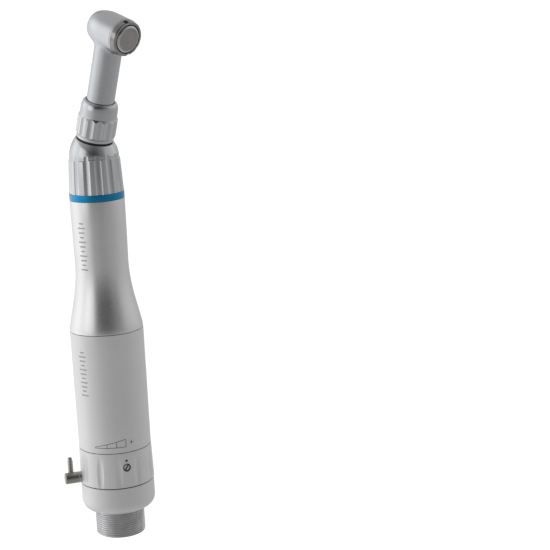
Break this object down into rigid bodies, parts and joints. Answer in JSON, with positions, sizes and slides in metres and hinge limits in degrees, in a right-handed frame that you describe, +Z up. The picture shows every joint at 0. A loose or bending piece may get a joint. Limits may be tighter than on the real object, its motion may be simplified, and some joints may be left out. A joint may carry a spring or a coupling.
{
  "type": "dental contra-angle handpiece with air motor",
  "caption": "Low-speed push-button contra-angle handpiece on an air motor, with bent neck, fluted grip, selector ring and threaded hose connector.",
  "frame": {"origin": "centre of the flat rear face of the threaded hose connector", "axes": "+Z up the motor's axis towards the head; +X the side that the neck bends to and that carries the push button"},
  "size_m": [0.0285, 0.0237, 0.1447],
  "materials": {
    "satin_aluminium": "fine blasted satin anodised aluminium",
    "polished_steel": "turned and polished stainless steel",
    "connector_steel": "machined plated steel with a fine thread",
    "tube_steel": "drawn stainless tube",
    "blue_anodised": "bright blue anodised band",
    "black_rubber": "moulded nitrile seal",
    "nickel_fitting": "dull nickel-plated brass",
    "valve_brass": "turned brass",
    "phenolic": "fabric-filled phenolic",
    "machined_steel": "machined stainless steel",
    "hardened_steel": "hardened dark steel",
    "bearing_steel": "ground bearing and spring steel"
  },
  "bodies": {
    "motor": {"hose_connector": "connector_steel", "rear_gasket": "black_rubber", "exhaust_tube": "tube_steel", "drive_air_tube": "tube_steel", "water_tube": "tube_steel", "chip_air_tube": "tube_steel", "rear_cap": "satin_aluminium", "valve_body": "valve_brass", "selector_oring_front": "black_rubber", "selector_oring_rear": "black_rubber", "motor_housing": "satin_aluminium", "motor_nose": "machined_steel", "nose_oring": "black_rubber", "snap_ring": "hardened_steel", "rear_end_plate": "machined_steel", "rear_bearing": "bearing_steel", "cylinder_liner": "machined_steel", "front_end_plate": "machined_steel", "front_bearing": "bearing_steel"},
    "sheath": {"shank": "satin_aluminium", "blue_ring": "blue_anodised", "grip_collar": "satin_aluminium", "bend_oring": "black_rubber", "shank_bearing_rear": "bearing_steel", "shank_bearing_front": "bearing_steel", "head_housing": "satin_aluminium", "neck_bearing_rear": "bearing_steel", "neck_bearing_front": "bearing_steel", "head_bearing_lower": "bearing_steel", "head_bearing_upper": "bearing_steel", "head_cap": "polished_steel", "button_spring": "bearing_steel"},
    "drive_line": {"rotor": "hardened_steel", "output_dog": "machined_steel", "input_dog": "machined_steel", "input_shaft": "machined_steel", "bend_drive_gear": "hardened_steel"},
    "rotor_vane_1": {"vane_1": "phenolic"},
    "rotor_vane_2": {"vane_2": "phenolic"},
    "rotor_vane_3": {"vane_3": "phenolic"},
    "rotor_vane_4": {"vane_4": "phenolic"},
    "neck_line": {"neck_shaft": "machined_steel", "bend_driven_gear": "hardened_steel", "head_pinion": "hardened_steel"},
    "spindle": {"chuck_spindle": "machined_steel", "spindle_gear": "hardened_steel"},
    "button": {"push_button": "polished_steel"},
    "selector": {"selector_ring": "satin_aluminium", "selector_screw": "polished_steel", "rotary_valve": "phenolic", "water_elbow": "nickel_fitting", "spray_nipple": "nickel_fitting"},
    "neck_nut": {"ring_nut": "satin_aluminium"}
  },
  "joints": [
    {"name": "sheath_swivel", "type": "hinge", "parent": "motor", "child": "sheath", "pos_m": [0, 0, 0.066], "axis": [0, 0, 1], "continuous": true},
    {"name": "selector_turn", "type": "hinge", "parent": "motor", "child": "selector", "pos_m": [0, 0, 0.0204], "axis": [0, 0, 1], "range_deg": [-100, 0]},
    {"name": "neck_nut_turn", "type": "hinge", "parent": "sheath", "child": "neck_nut", "pos_m": [0, 0, 0.1084], "axis": [0.3206, 0, 0.9472], "range_deg": [0, 90]},
    {"name": "drive_spin", "type": "hinge", "parent": "sheath", "child": "drive_line", "pos_m": [0, 0, 0.0405], "axis": [0, 0, 1], "continuous": true},
    {"name": "neck_spin", "type": "hinge", "parent": "sheath", "child": "neck_line", "pos_m": [0, 0, 0.1084], "axis": [0.3206, 0, 0.9472], "continuous": true},
    {"name": "spindle_spin", "type": "hinge", "parent": "sheath", "child": "spindle", "pos_m": [0.01047, 0, 0.13933], "axis": [0.9472, 0, -0.3206], "continuous": true},
    {"name": "button_press", "type": "slide", "parent": "sheath", "child": "button", "axis": [-0.9472, 0, 0.3206], "range_m": [0, 0.0008], "stiffness_N_per_m": 5000, "springref_m": -0.0003},
    {"name": "vane_1_slide", "type": "slide", "parent": "drive_line", "child": "rotor_vane_1", "axis": [0.7071, 0.7071, 0], "range_m": [0, 0.0003]},
    {"name": "vane_2_slide", "type": "slide", "parent": "drive_line", "child": "rotor_vane_2", "axis": [-0.7071, 0.7071, 0], "range_m": [0, 0.0003]},
    {"name": "vane_3_slide", "type": "slide", "parent": "drive_line", "child": "rotor_vane_3", "axis": [-0.7071, -0.7071, 0], "range_m": [0, 0.0003]},
    {"name": "vane_4_slide", "type": "slide", "parent": "drive_line", "child": "rotor_vane_4", "axis": [0.7071, -0.7071, 0], "range_m": [0, 0.0003]}
  ],
  "couplings": [
    {"joint": "neck_spin", "follows": "drive_spin", "ratio": 1},
    {"joint": "spindle_spin", "follows": "drive_spin", "ratio": 1}
  ]
}
